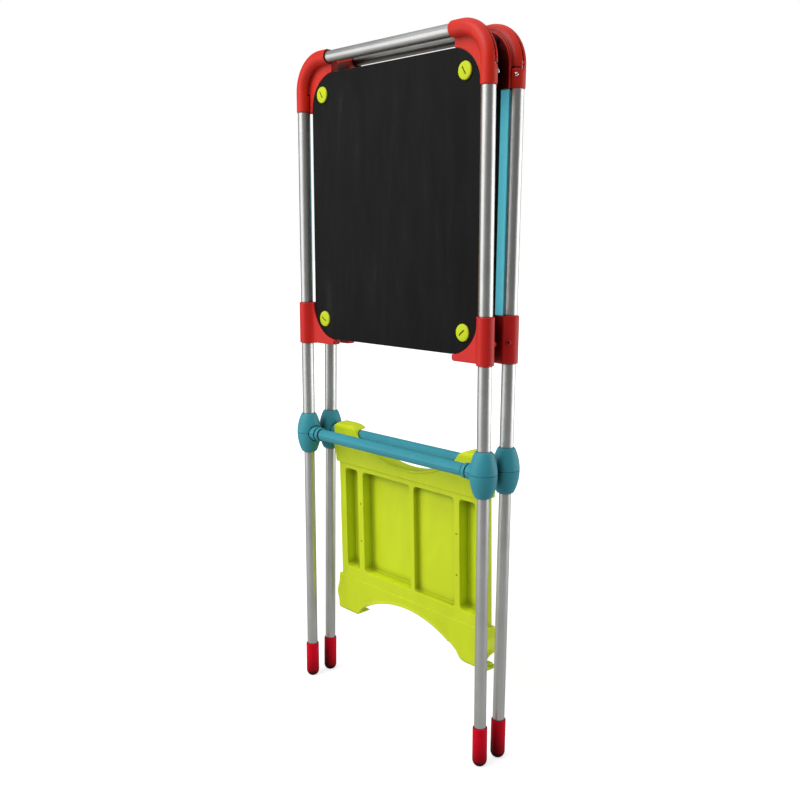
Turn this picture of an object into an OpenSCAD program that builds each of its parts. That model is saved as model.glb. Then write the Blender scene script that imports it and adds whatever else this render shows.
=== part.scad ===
// Child's two-sided easel, folded and standing on its four feet.
// Two equal ladder frames are hinged together just below their top rails.
// A moulded tool tray hangs by its hooks from the rear frame's cross rail.
// +X is right, the front frame is on the -Y side, +Z is up. Millimetres.

/* [Frame] */
// Distance between the left and right leg centre lines
leg_span = 450; // [430:5:480]
// Height of the top rail centre line, measured along the frame
top_rail_z = 1150; // [1120:5:1200]
// Height of the cross rail centre line, measured along the frame
cross_z = 484; // [440:2:520]
// Distance between front and rear leg centre lines at the floor
foot_gap = 42.6; // [40:0.2:56]
// Angle each folded frame leans away from the middle
lean = 0.49; // [0.3:0.01:1.2]

/* [Tubes] */
// Outside diameter of the upper legs and top rail
upper_d = 22; // [20:0.5:23]
// Outside diameter of the lower legs
lower_d = 19.4; // [16:0.2:20]
// Wall thickness of the steel tubes
wall = 1.2; // [0.8:0.1:1.6]

/* [Board] */
// Height of the drawing board
board_h = 462; // [440:2:462]
// Height of the board's lower edge
board_z = 664; // [660:1:668]
// Thickness of the drawing board
board_t = 5; // [3:0.5:5]
// Gap between the board's side edge and the leg centre line
board_gap = 19.7; // [19:0.1:22]
// Corner radius of the drawing board
board_r = 60; // [50:1:64]

/* [Corner fittings] */
// Outside radius of the corner sleeve
sleeve_r = 14; // [13:0.1:14.5]
// Centre line radius of the corner bend
bend_r = 48; // [40:1:55]
// Depth of the web that holds the board
web_t = 14; // [13:0.5:15]

/* [Cross rail fittings] */
// Largest radius of the barrel connector
barrel_r = 22; // [21.6:0.1:23]
// Height of the barrel connector
barrel_h = 74; // [66:1:76]
// Outside radius of the cross rail cover
cover_r = 10.3; // [10.1:0.05:10.5]

/* [Side strips] */
// Width of the blue strip beside the rear board
strip_w = 15; // [12:0.5:16]
// Thickness of the blue strip
strip_t = 2.4; // [1.5:0.1:3]

/* [Tray] */
// Distance between the centres of the tray's upper and lower hooks
hook_pitch = 331; // [310:1:340]
// Half width of the tray's middle part
tray_half = 183.5; // [178:0.5:184]
// Depth of the deep pockets
deep_pocket = 20.5; // [12:0.5:21]
// Depth of the shallow pocket
shallow_pocket = 11; // [6:0.5:20]
// Angle the hanging tray leans back from upright
tray_lean = 1.7; // [0:0.1:3]

/* [Show] */
// Part to draw

/* [Hidden] */
$fn = 96;
leg_x = leg_span / 2;
upper_r = upper_d / 2;
lower_r = lower_d / 2;
fit = 0.05;                        // radial clearance of a tube in its sleeve
bore_r = upper_r + fit;
parting = 0.3;                     // visible gap between two moulded halves
board_w = leg_span - 2 * board_gap;
board_y = 4.2;                     // board's front face, behind the leg centre line
board_back = board_y + board_t + 0.1;
board_top = board_z + board_h;
sleeve_z = 1062;                   // lower end of the corner sleeve
step_z = 1091;                     // height where the back half of the corner starts
sleeve_x = 150;                    // inner end of the corner sleeve on the top rail
bend_z = top_rail_z - bend_r;
web_y = board_y - 0.2;
web_back = web_y + web_t;
plate_back = board_back + 4.6;
edge_gap = 0.3;                    // gap between the board's edge and the red web
bracket_low = 653;
bracket_high = 727;
bracket_r = 13.8;
web_lift = 0.6;                    // the bracket's web starts this far above its lower rim
web_corner = 5;                    // radius of the web's lower inner corner
plate_in = 24;                     // inner radius of the quarter ring behind the board
plate_out = 3;                     // how far that ring reaches past the board's corner arc
boss_len = 9;                      // length of the boss around the knob's shank
knob_in = 29;                      // knob position, from the centre of the board's corner arc
knob_up = 24;
knob_x = board_w / 2 - board_r + knob_in;
knob_r = 13.8;
knob_t = 4.6;
slot_w = 2;
slot_deep = 1.3;
knob_dome = 71;                    // radius of the knob's domed face
shank_r = 3;
strip_in = 6;                      // strip's outer edge, inside the leg centre line
screw_turn = 54;                   // direction of the small screws around the leg
corner_screw_z = 1082;
bracket_screw_z = 686;
barrel_arc = 81;                   // radius of the barrel's curved side
boss_x = 196;
boss_r = 13;
core_r = 9.5;
core_x = 205.4;
cover_x = 183.5;
collar_r = 12.6;
collar_x = 186;
collar_w = 7.5;
foot_r = 12;
foot_h = 66;
foot_cut = 1.2;                    // how far the round foot is flattened
hinge_z = 1125;                    // hinge height, measured along the frame
hinge_y = (foot_gap / 2 + hinge_z * sin(lean)) / cos(lean);
hinge_top = hinge_y * sin(lean) + hinge_z * cos(lean);
hinge_x0 = 166;
hinge_x1 = 202;
eye_r = 6.5;
pin_r = 2.5;
rail_y = foot_gap / 2 + cross_z * sin(lean);
rail_top = cross_z * cos(lean);
tray_front = -15.2;                // tray's front face, from the rail centre line
tray_field = -13.2;                // sunk face around the pockets
tray_rear = 12.9;
tray_wall = 2.6;
end_u = 55;                        // end panels meet the middle part here
mouth_r = 11;
relief_r = 13.2;
relief_x = 185.3;
arch_r = 228;
arch_u = 37;
swing_r = 34;                      // radius of the reverse curve beside each hook
hook_in = 156;                     // inner end of each hook
lower_wall = wall - 0.2;

// Places a frame part, drawn upright with its legs at Y = 0 and its back towards +Y.
module on_front() {
    translate([0, -foot_gap / 2, 0])
        rotate([lean, 0, 0])
            children();
}

module on_rear() {
    rotate([0, 0, 180])
        on_front()
            children();
}

// Draws a right-hand part on the side given by the sign of s.
module on_side(s) {
    if (s > 0) {
        children();
    } else {
        mirror([1, 0, 0])
            children();
    }
}

// Extrudes an outline drawn in X and Z between two depths.
module slab(y0, y1) {
    translate([0, y1, 0])
        rotate([90, 0, 0])
            linear_extrude(y1 - y0)
                children();
}

// Extrudes a side view drawn in Y and Z, centred on X = 0.
module across(w) {
    translate([-w / 2, 0, 0])
        rotate([90, 0, 90])
            linear_extrude(w)
                children();
}

module rod_x(r, x0, x1) {
    translate([x0, 0, 0])
        rotate([0, 90, 0])
            cylinder(r = r, h = x1 - x0);
}

// Rounded rectangle standing on Y = z0, centred on X = 0.
module rounded(w, z0, h, r) {
    translate([-w / 2 + r, z0])
        square([w - 2 * r, h]);
    translate([-w / 2, z0 + r])
        square([w, h - 2 * r]);
    for (x = [-w / 2 + r, w / 2 - r]) {
        for (z = [z0 + r, z0 + h - r]) {
            translate([x, z])
                circle(r = r);
        }
    }
}

module board_outline(grow) {
    rounded(board_w + 2 * grow, board_z - grow, board_h + 2 * grow, board_r + grow);
}

// Shaft pointing outwards from the leg in the direction of its small screw.
module screw_shaft(z, r, r0, r1) {
    translate([leg_x, 0, z])
        rotate([0, 0, screw_turn])
            rod_x(r, r0, r1);
}

// ---- steel tubes ----

module top_rail() {
    end_x = leg_x - bend_r;
    color("silver")
        difference() {
            translate([0, 0, top_rail_z])
                rod_x(upper_r, -end_x, end_x);
            translate([0, 0, top_rail_z])
                rod_x(upper_r - wall, -end_x - 1, end_x + 1);
        }
}

module upper_leg() {
    low = cross_z + 2;
    color("silver")
        difference() {
            translate([leg_x, 0, low])
                cylinder(r = upper_r, h = bend_z - low);
            translate([leg_x, 0, low - 1])
                cylinder(r = upper_r - wall, h = bend_z - low + 2);
            screw_shaft(corner_screw_z, 2.1, 5, 13);
            screw_shaft(bracket_screw_z, 1.75, 5, 13);
        }
}

module lower_leg() {
    low = foot_r + 2;
    high = cross_z - 2.1;
    color("silver")
        difference() {
            translate([leg_x, 0, low])
                cylinder(r = lower_r, h = high - low);
            translate([leg_x, 0, low - 1])
                cylinder(r = lower_r - lower_wall, h = high - low + 2);
        }
}

// ---- red corner fittings ----

module elbow(r, over) {
    translate([leg_x, 0, sleeve_z - over])
        cylinder(r = r, h = bend_z - sleeve_z + over);
    translate([leg_x - bend_r, 0, bend_z])
        rotate([90, 0, 0])
            rotate_extrude(angle = 90)
                translate([bend_r, 0])
                    circle(r = r);
    translate([0, 0, top_rail_z])
        rod_x(r, sleeve_x - over, leg_x - bend_r);
}

module corner_shell() {
    color("firebrick")
        difference() {
            elbow(sleeve_r, 0);
            elbow(bore_r, 1);
            translate([sleeve_x - 2, -parting / 2, step_z])
                cube([leg_span / 2 - sleeve_x + 20, 20, 120]);
            screw_shaft(corner_screw_z, 2.1, 8, 16);
        }
}

module corner_web_outline() {
    difference() {
        union() {
            translate([sleeve_x, sleeve_z])
                square([leg_x - sleeve_x, bend_z - sleeve_z]);
            translate([sleeve_x, sleeve_z])
                square([leg_x - bend_r - sleeve_x, top_rail_z - sleeve_z]);
            translate([leg_x - bend_r, bend_z])
                circle(r = bend_r);
        }
        board_outline(edge_gap);
    }
}

// Quarter ring behind the board's corner; up is 1 at the top and -1 at the bottom.
module plate_outline(up) {
    cx = board_w / 2 - board_r;
    cz = up > 0 ? board_top - board_r : board_z + board_r;
    intersection() {
        translate([cx, cz])
            difference() {
                circle(r = board_r + plate_out);
                circle(r = plate_in);
            }
        translate([cx + 3, up > 0 ? cz + 3 : cz - 3 - board_r - 5])
            square([board_r + 5, board_r + 5]);
    }
}

module knob_place(up) {
    z = up > 0 ? board_top - board_r + knob_up : board_z + board_r - knob_up;
    translate([knob_x, 0, z])
        rotate([-90, 0, 0])
            children();
}

module corner_back() {
    color("firebrick")
        difference() {
            union() {
                elbow(sleeve_r, 0);
                slab(web_y, web_back)
                    corner_web_outline();
                slab(board_back, plate_back)
                    plate_outline(1);
                knob_place(1)
                    translate([0, 0, board_back])
                        cylinder(r = 8, h = boss_len);
            }
            elbow(bore_r, 1);
            translate([sleeve_x - 2, -20 + parting / 2, sleeve_z - 2])
                cube([leg_x - sleeve_x + 20, 20, 120]);
            translate([leg_x, 0, sleeve_z - 1])
                cylinder(r = sleeve_r + parting / 2, h = step_z - sleeve_z + 1 + parting);
            knob_place(1)
                cylinder(r = shank_r + 0.1, h = 40);
        }
}

module bracket_web_outline() {
    low = bracket_low + web_lift;
    difference() {
        union() {
            translate([sleeve_x + web_corner, low])
                square([leg_x - sleeve_x - web_corner, bracket_high - low]);
            translate([sleeve_x, low + web_corner])
                square([web_corner + 1, 20]);
            translate([sleeve_x + web_corner, low + web_corner])
                circle(r = web_corner);
        }
        board_outline(edge_gap);
    }
}

module bracket() {
    color("crimson")
        difference() {
            union() {
                translate([leg_x, 0, bracket_low])
                    cylinder(r = bracket_r, h = bracket_high - bracket_low);
                slab(web_y - 2, web_back)
                    bracket_web_outline();
                slab(board_back, plate_back)
                    plate_outline(-1);
                knob_place(-1)
                    translate([0, 0, board_back])
                        cylinder(r = 8, h = boss_len);
                screw_shaft(bracket_screw_z, 3.6, 11.5, 16.2);
            }
            translate([leg_x, 0, bracket_low - 1])
                cylinder(r = bore_r, h = bracket_high - bracket_low + 2);
            knob_place(-1)
                cylinder(r = shank_r + 0.1, h = 40);
            screw_shaft(bracket_screw_z, 1.75, 8, 18);
        }
}

module corner_screws() {
    color("gainsboro")
        for (s = [-1, 1]) {
            on_side(s) {
                screw_shaft(corner_screw_z, 2, 8.4, 14.3);
                screw_shaft(corner_screw_z, 4, 14.1, 16.5);
            }
        }
}

module bracket_screws() {
    color("dimgray")
        for (s = [-1, 1]) {
            on_side(s)
                screw_shaft(bracket_screw_z, 1.65, 8.4, 14.6);
        }
}

// ---- board and its knobs ----

module board() {
    color("darkslategray")
        difference() {
            slab(board_y, board_y + board_t)
                board_outline(0);
            for (s = [-1, 1]) {
                for (up = [-1, 1]) {
                    on_side(s)
                        knob_place(up)
                            cylinder(r = shank_r + 0.3, h = 40);
                }
            }
        }
}

// Domed head with a screwdriver slot; its shank runs back through the board.
module knob(turn) {
    color("yellowgreen") {
        difference() {
            translate([0, 0, board_y - 0.1])
                mirror([0, 0, 1])
                    rotate_extrude()
                        intersection() {
                            square([knob_r, knob_t]);
                            translate([0, knob_t - knob_dome])
                                circle(r = knob_dome);
                        }
            translate([0, 0, board_y - 0.1 - knob_t])
                rotate([0, 0, turn])
                    cube([knob_r + 1, slot_w, 2 * slot_deep], center = true);
        }
        translate([0, 0, board_y - 0.3])
            cylinder(r = shank_r, h = web_back - board_y);
    }
}

module board_knobs() {
    on_side(1) {
        knob_place(1)
            knob(-122);
        knob_place(-1)
            knob(-39);
    }
    on_side(-1) {
        knob_place(1)
            knob(-95);
        knob_place(-1)
            knob(-28);
    }
}

// ---- blue strip that closes the gap between the rear board's edge and the leg ----

module side_strip() {
    y0 = board_y + board_t + 0.1;
    color("lightblue")
        difference() {
            translate([leg_x - strip_in - strip_w, y0, bracket_high + 0.3])
                cube([strip_w, strip_t, sleeve_z - bracket_high - 0.6]);
            translate([leg_x, 0, bracket_high])
                cylinder(r = upper_r + 0.2, h = sleeve_z - bracket_high);
        }
}

// ---- teal cross rail with its barrel connectors ----

module barrel() {
    difference() {
        union() {
            translate([leg_x, 0, cross_z - barrel_h / 2])
                rotate_extrude()
                    intersection() {
                        square([barrel_r + 1, barrel_h]);
                        translate([barrel_r - barrel_arc, barrel_h / 2])
                            circle(r = barrel_arc);
                    }
            translate([0, 0, cross_z])
                rod_x(boss_r, boss_x, leg_x);
        }
        translate([leg_x, 0, cross_z + 1.9])
            cylinder(r = bore_r, h = barrel_h);
        translate([leg_x, 0, cross_z - 2 - barrel_h])
            cylinder(r = lower_r + fit, h = barrel_h);
        translate([0, 0, cross_z])
            rod_x(core_r + fit, boss_x - 1, core_x + 0.1);
    }
}

module barrel_upper() {
    color("steelblue")
        difference() {
            barrel();
            translate([leg_x - 40, -30, cross_z + parting / 2 - 60])
                cube([80, 60, 60]);
        }
}

module barrel_lower() {
    color("steelblue")
        difference() {
            barrel();
            translate([leg_x - 40, -30, cross_z - parting / 2])
                cube([80, 60, 60]);
        }
}

module cross_rail_core() {
    color("silver")
        translate([0, 0, cross_z])
            difference() {
                rod_x(core_r, -core_x, core_x);
                rod_x(core_r - wall, -core_x - 1, core_x + 1);
            }
}

module cross_rail_cover() {
    ribs = 12;
    rib_w = 1.4;
    rib_h = 0.3;
    color("steelblue")
        translate([0, 0, cross_z])
            difference() {
                union() {
                    rod_x(cover_r, -cover_x, cover_x);
                    for (i = [0 : ribs - 1]) {
                        rotate([i * 360 / ribs, 0, 0])
                            translate([-cover_x, -rib_w / 2, core_r])
                                cube([2 * cover_x, rib_w, cover_r - core_r + rib_h]);
                    }
                }
                rod_x(core_r + fit, -cover_x - 1, cover_x + 1);
            }
}

module rail_collars() {
    color("steelblue")
        translate([0, 0, cross_z])
            for (s = [-1, 1]) {
                on_side(s)
                    difference() {
                        rod_x(collar_r, collar_x, collar_x + collar_w);
                        rod_x(core_r + fit, collar_x - 1, collar_x + collar_w + 1);
                    }
            }
}

// ---- feet ----

module foot() {
    color("crimson")
        difference() {
            translate([leg_x, 0, 0])
                rotate_extrude()
                    intersection() {
                        translate([0, -2])
                            square([foot_r + 1, foot_h + 2]);
                        union() {
                            translate([0, foot_r - foot_cut])
                                circle(r = foot_r);
                            translate([0, foot_r - foot_cut])
                                square([foot_r, foot_h - foot_r - 2 + foot_cut]);
                            polygon([[0, foot_h - 3], [foot_r, foot_h - 2],
                                [foot_r - 0.8, foot_h], [0, foot_h]]);
                        }
                    }
            translate([leg_x, 0, foot_r + 1.9])
                cylinder(r = lower_r + fit, h = foot_h);
        }
}

// Foot of the front frame, cut flat where it stands on the floor.
module front_foot(s) {
    difference() {
        on_front()
            on_side(s)
                foot();
        translate([-leg_span, -200, -50])
            cube([2 * leg_span, 400, 50]);
    }
}

module rear_foot(s) {
    rotate([0, 0, 180])
        front_foot(s);
}

// ---- hinges between the two frames ----

module hinge_plate() {
    translate([hinge_x0, web_back + 0.05, hinge_z - 13])
        cube([hinge_x1 - hinge_x0, 2.5, 24]);
}

module hinge_eye(x0, x1, r) {
    difference() {
        union() {
            translate([0, hinge_y, hinge_z])
                rod_x(eye_r, x0, x1);
            translate([x0, web_back + 1, hinge_z - eye_r])
                cube([x1 - x0, hinge_y - web_back - 1, 2 * eye_r]);
        }
        translate([0, hinge_y, hinge_z])
            rod_x(r, x0 - 1, x1 + 1);
    }
}

module hinge_fork() {
    color("gray") {
        hinge_plate();
        hinge_eye(hinge_x0, hinge_x0 + 10, pin_r + 0.02);
        hinge_eye(hinge_x1 - 10, hinge_x1, pin_r + 0.02);
    }
}

module hinge_tongue() {
    color("gray") {
        hinge_plate();
        hinge_eye(hinge_x0 + 10.4, hinge_x1 - 10.4, pin_r + 0.06);
    }
}

module hinge_pins() {
    color("silver")
        for (s = [-1, 1]) {
            on_side(s)
                translate([0, 0, hinge_top]) {
                    rod_x(pin_r, hinge_x0 - 0.5, hinge_x1 + 0.5);
                    rod_x(pin_r + 1.3, hinge_x1 + 0.2, hinge_x1 + 1.6);
                }
        }
}

// ---- tool tray, drawn hanging down from the rail centre line at the origin ----

// Copies an upper end feature to the tray's lower end.
module both_ends() {
    children();
    translate([0, 0, -hook_pitch])
        mirror([0, 0, 1])
            children();
}

module both_ends_flat() {
    children();
    translate([0, -hook_pitch])
        mirror([0, 1])
            children();
}

module end_panel_outline() {
    edge = [[tray_half + 7, -end_u], [192.5, -37], [198, -22], [199, -15.5], [197, -7],
        [194.5, 1], [194.5, 13], [191, 18.5], [186, 21.2]];
    n = len(edge);
    polygon(concat(edge, [for (i = [n - 1 : -1 : 0]) [-edge[i][0], edge[i][1]]]));
}

// Wide arch with a reverse curve at each end, cut out between the two hooks.
function arch_half(r) = concat(
    [for (a = [0 : 3 : 33]) [r * sin(a), -arch_u + arch_r - r * cos(a)]],
    [[r * sin(33) + 4.5, -arch_u + arch_r - r * cos(33) + 5.4]],
    [for (a = [42 : -7 : 0]) [hook_in - swing_r * sin(a), 20 - swing_r * (1 - cos(a))]]
);

module arch_outline(r) {
    half = arch_half(r);
    n = len(half);
    top = 30;
    polygon(concat(half, [[hook_in, top]], [[-hook_in, top]],
        [for (i = [n - 1 : -1 : 1]) [-half[i][0], half[i][1]]]));
}

module tray_outline() {
    difference() {
        union() {
            both_ends_flat()
                end_panel_outline();
            translate([-tray_half, -hook_pitch + end_u - 1])
                square([2 * tray_half, hook_pitch - 2 * end_u + 2]);
        }
        both_ends_flat()
            arch_outline(arch_r);
    }
}

// Side view of one hook: front wall, curved mouth for the rail, and the lip over it.
module hook_section() {
    difference() {
        polygon([[tray_front, -14], [tray_front, 11], [-14.6, 14], [-12.6, 16.5],
            [-10, 17.8], [7, 21], [10.5, 20], [12.9, 17.5], [13.5, 14.5], [13, 11.6],
            [3, mouth_r], [0, mouth_r], [0, -14]]);
        circle(r = mouth_r);
    }
}

module tray_section() {
    both_ends_flat()
        hook_section();
    difference() {
        translate([tray_front, -hook_pitch + 13.4])
            square([tray_rear - tray_front, hook_pitch - 26.8]);
        translate([tray_front - 1, -hook_pitch + end_u])
            square([tray_field - tray_front + 1, hook_pitch - 2 * end_u]);
    }
}

// Pockets: left edge, right edge and depth. All share one top and bottom.
pockets = [[-166, -131, deep_pocket], [-116, 12, deep_pocket],
    [22, 121, shallow_pocket], [134, 171, deep_pocket]];
pocket_top = -64;
pocket_low = -hook_pitch + 75;

module pocket_block(p, grow, y0, y1) {
    w = p[1] - p[0] + 2 * grow;
    translate([(p[0] + p[1]) / 2, 0, 0])
        slab(y0, y1)
            rounded(w, pocket_low - grow, pocket_top - pocket_low + 2 * grow, 7 + grow);
}

// The tray is open at the back, so only its walls and pocket tubs are solid.
module tray_hollow() {
    back = tray_rear + 2;
    both_ends()
        difference() {
            translate([-tray_half, tray_front + tray_wall, 2.5 - end_u])
                cube([2 * tray_half, back - tray_front, end_u - 18.5]);
            translate([0, 0, arch_r - arch_u])
                rotate([90, 0, 0])
                    cylinder(r = arch_r + tray_wall, h = 80, center = true);
        }
    difference() {
        translate([-tray_half + tray_wall, tray_field + tray_wall, -hook_pitch + end_u + 2])
            cube([2 * (tray_half - tray_wall), back - tray_field, hook_pitch - 2 * end_u - 4]);
        for (p = pockets) {
            pocket_block(p, 2.4, tray_field, tray_field + p[2] + 2.4);
        }
    }
}

module rail_relief() {
    both_ends()
        for (s = [-1, 1]) {
            on_side(s) {
                rod_x(relief_r, relief_x, 200);
                translate([relief_x, 0, -relief_r])
                    cube([20, 20, 2 * relief_r]);
            }
        }
}

module arch_lip() {
    slab(tray_front - 1.4, tray_front + 1)
        intersection() {
            difference() {
                arch_outline(arch_r + 3.5);
                arch_outline(arch_r);
            }
            translate([-108, -60])
                square([216, 70]);
        }
}

module tray() {
    color("yellowgreen")
        translate([0, rail_y, rail_top])
            rotate([tray_lean, 0, 0]) {
                difference() {
                    intersection() {
                        slab(-20, 20)
                            tray_outline();
                        across(420)
                            tray_section();
                    }
                    tray_hollow();
                    rail_relief();
                    for (p = pockets) {
                        pocket_block(p, 0, -30, tray_field + p[2]);
                    }
                }
                both_ends()
                    arch_lip();
            }
}

on_front() top_rail();  // front_top_rail
on_front() on_side(-1) corner_shell();  // front_corner_shell_left
on_front() on_side(1) corner_shell();  // front_corner_shell_right
on_front() on_side(-1) corner_back();  // front_corner_back_left
on_front() on_side(1) corner_back();  // front_corner_back_right
on_front() on_side(-1) upper_leg();  // front_upper_leg_left
on_front() on_side(1) upper_leg();  // front_upper_leg_right
on_front() board();  // front_board
on_front() board_knobs();  // front_board_knobs
on_front() on_side(-1) bracket();  // front_bracket_left
on_front() on_side(1) bracket();  // front_bracket_right
on_front() on_side(-1) barrel_upper();  // front_barrel_upper_left
on_front() on_side(1) barrel_upper();  // front_barrel_upper_right
on_front() on_side(-1) barrel_lower();  // front_barrel_lower_left
on_front() on_side(1) barrel_lower();  // front_barrel_lower_right
on_front() cross_rail_core();  // front_cross_rail_core
on_front() cross_rail_cover();  // front_cross_rail_cover
on_front() rail_collars();  // front_rail_collars
on_front() on_side(-1) lower_leg();  // front_lower_leg_left
on_front() on_side(1) lower_leg();  // front_lower_leg_right
front_foot(-1);  // front_foot_left
front_foot(1);  // front_foot_right
on_front() corner_screws();  // front_corner_screws
on_front() bracket_screws();  // front_bracket_screws
on_front() on_side(-1) hinge_fork();  // front_hinge_left
on_front() on_side(1) hinge_fork();  // front_hinge_right
on_rear() top_rail();  // rear_top_rail
on_rear() on_side(1) corner_shell();  // rear_corner_shell_left
on_rear() on_side(-1) corner_shell();  // rear_corner_shell_right
on_rear() on_side(1) corner_back();  // rear_corner_back_left
on_rear() on_side(-1) corner_back();  // rear_corner_back_right
on_rear() on_side(1) upper_leg();  // rear_upper_leg_left
on_rear() on_side(-1) upper_leg();  // rear_upper_leg_right
on_rear() board();  // rear_board
on_rear() board_knobs();  // rear_board_knobs
on_rear() on_side(1) bracket();  // rear_bracket_left
on_rear() on_side(-1) bracket();  // rear_bracket_right
on_rear() on_side(1) barrel_upper();  // rear_barrel_upper_left
on_rear() on_side(-1) barrel_upper();  // rear_barrel_upper_right
on_rear() on_side(1) barrel_lower();  // rear_barrel_lower_left
on_rear() on_side(-1) barrel_lower();  // rear_barrel_lower_right
on_rear() cross_rail_core();  // rear_cross_rail_core
on_rear() cross_rail_cover();  // rear_cross_rail_cover
on_rear() rail_collars();  // rear_rail_collars
on_rear() on_side(1) lower_leg();  // rear_lower_leg_left
on_rear() on_side(-1) lower_leg();  // rear_lower_leg_right
rear_foot(1);  // rear_foot_left
rear_foot(-1);  // rear_foot_right
on_rear() corner_screws();  // rear_corner_screws
on_rear() bracket_screws();  // rear_bracket_screws
on_rear() on_side(1) hinge_tongue();  // rear_hinge_left
on_rear() on_side(-1) hinge_tongue();  // rear_hinge_right
on_rear() on_side(1) side_strip();  // rear_side_strip_left
on_rear() on_side(-1) side_strip();  // rear_side_strip_right
hinge_pins();
tray();
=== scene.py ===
import math

import bpy
import numpy as np
from mathutils import Matrix, Vector

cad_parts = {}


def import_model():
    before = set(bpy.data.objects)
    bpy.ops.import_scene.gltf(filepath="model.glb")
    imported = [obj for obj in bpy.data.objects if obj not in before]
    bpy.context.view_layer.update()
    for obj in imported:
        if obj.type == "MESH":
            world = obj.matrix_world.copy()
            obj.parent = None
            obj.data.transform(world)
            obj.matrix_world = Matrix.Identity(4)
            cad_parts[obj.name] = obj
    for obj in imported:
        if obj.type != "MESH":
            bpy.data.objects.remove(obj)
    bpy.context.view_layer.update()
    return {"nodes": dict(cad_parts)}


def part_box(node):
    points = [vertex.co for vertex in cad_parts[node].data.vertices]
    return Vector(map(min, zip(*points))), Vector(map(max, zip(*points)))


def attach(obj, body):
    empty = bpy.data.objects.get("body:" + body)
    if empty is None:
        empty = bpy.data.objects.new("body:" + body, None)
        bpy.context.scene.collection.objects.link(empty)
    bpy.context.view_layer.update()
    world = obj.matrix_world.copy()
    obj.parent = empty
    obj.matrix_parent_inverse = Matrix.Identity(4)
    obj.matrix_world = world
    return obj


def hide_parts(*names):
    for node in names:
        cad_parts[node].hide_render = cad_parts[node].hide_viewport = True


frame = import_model()

# ---------------------------------------------------------------- dimensions
# All in mm, and as in the CAD but for the lines that give the CAD's value. A frame's own axes: X across
# it, Z up its legs, Y = 0 in the plane of its tubes, and -Y towards its outer side.

LEG_X = 225.0
TOP_RAIL_Z = 1150.0
CROSS_Z = 484.0
FOOT_GAP = 42.6                     # between the two frames' leg centre lines, at the floor
LEAN = math.radians(0.49)           # of each folded frame, away from the other at its top
UPPER_R, LOWER_R = 11.0, 9.7        # leg tubes
FIT = 0.05                          # play between a tube and its bore
BORE_R = UPPER_R + FIT

BOARD_W, BOARD_Z, BOARD_T, BOARD_R = 410.6, 664.0, 5.0, 60.0
BOARD_H = 460.5                     # CAD: 462
BOARD_Y = 4.2
BOARD_TOP = BOARD_Z + BOARD_H
BOARD_BACK = BOARD_Y + BOARD_T + 0.1
BOARD_GAP = 0.3                     # between the board's edge and the red webs
ARC_X = BOARD_W / 2 - BOARD_R       # centre of the board's corner arcs

SLEEVE_R, BEND_R = 12.7, 53.0       # CAD: 14 and 48
SLEEVE_Z, SLEEVE_X = 1062.0, 150.0  # where a corner's sleeves end
SLEEVE_ROUND = 3.2
BEND_Z = TOP_RAIL_Z - BEND_R
BEND_WALL = 1.6                     # extra wall in the bend, where no tube runs; CAD: none
STEP_Z = 1091.0                     # below it, the outer moulding has the whole sleeve
GROOVE = 1.7                        # parting line between the two corner mouldings; CAD: 0.3
RAIL_R = 9.9                        # top rail; CAD: 11
RAIL_UP = {"front": -0.5, "rear": 1.1}  # CAD: 0
WEB_Y, WEB_BACK = 4.0, 18.0
PLATE_BACK = BOARD_BACK + 4.6       # the plate that the knobs screw the board to
PLATE_IN, PLATE_OUT = 24.0, 3.0
BRACKET_LOW, BRACKET_HIGH, BRACKET_R = 653.0, 727.0, 13.8

KNOB_X = ARC_X + 29.0
KNOB_UP = 24.5                      # CAD: 24
KNOB_R, KNOB_T, KNOB_DOME = 13.8, 4.6, 71.0
KNOB_TURNS = {(1, 1): -122, (1, -1): -39, (-1, 1): -58, (-1, -1): -28}  # slots, by (side, up)
KNOB_BOSS_R, KNOB_BOSS_LONG, KNOB_HOLE_R = 8.0, 9.0, 3.1
SLOT_HALF = 7.0                     # half a slot's length
SLOT_WIDE, SLOT_DEEP = 1.1, 2.0     # half its width, and its depth; CAD: 1 and 1.3
SCREW_TURN = math.radians(54)       # of the small screws round the leg
CORNER_SCREW_Z, BRACKET_SCREW_Z = 1082.0, 686.0
CORNER_HOLE = (2.1, 8, 18)          # radius, and reach from the leg's centre
BRACKET_HOLE = (1.75, 8, 19)
BRACKET_BOSS = (3.6, 11.5, 16.2)

BARREL_R, BARREL_H, BARREL_ARC = 22.0, 74.0, 81.0
BOSS_X, BOSS_R = 196.0, 13.0
SEAM = 0.16                         # half the gap between the barrel's halves
CORE_R = 9.5
COVER_X, COVER_R = 183.5, 10.3
RIBS, RIB_HIGH = 12, 0.3
COLLAR_X, COLLAR_W, COLLAR_R = 186.0, 7.5, 12.6
FOOT_R, FOOT_H, FOOT_CUT = 12.0, 66.0, 1.2
RAIL_Y = FOOT_GAP / 2 + CROSS_Z * math.sin(LEAN)
RAIL_TOP = CROSS_Z * math.cos(LEAN)

# The tray's own axes: X across, V from its face to its back, W up from its upper hooks' centre line.
TRAY_LEAN = math.radians(1.7)
PITCH = 331.0                       # between its upper and lower hooks
TRAY_HALF, END_U = 183.5, 55.0
ARCH_R, ARCH_U, SWING_R, HOOK_IN = 228.0, 37.0, 34.0, 156.0
FIELD, FACE, REAR_FACE, WALL = -13.2, -15.2, 12.9, 2.6
POCKET_TOP, POCKET_LOW = -64.0, -PITCH + 75.0
POCKET_WALL, POCKET_DRAFT = 2.4, 0.055
COLLAR_ROOM_R, COLLAR_ROOM_X = 13.2, 185.3
HOOK_BORE = 11.0
DIMPLES = [(x, w) for x in (-123.4, 127.0) for w in (-126.0, -198.0)]
LIP = 3.5                           # raised edge round the arches

# ---------------------------------------------------------------- shapes as distance fields


def smin(a, b, k):
    """Union of two fields with a fillet of about k."""
    h = np.clip(0.5 + 0.5 * (b - a) / k, 0, 1)
    return b + (a - b) * h - k * h * (1 - h)


def smax(a, b, k):
    """Overlap of two fields with a rounded edge of about k."""
    return -smin(-a, -b, k)


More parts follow.
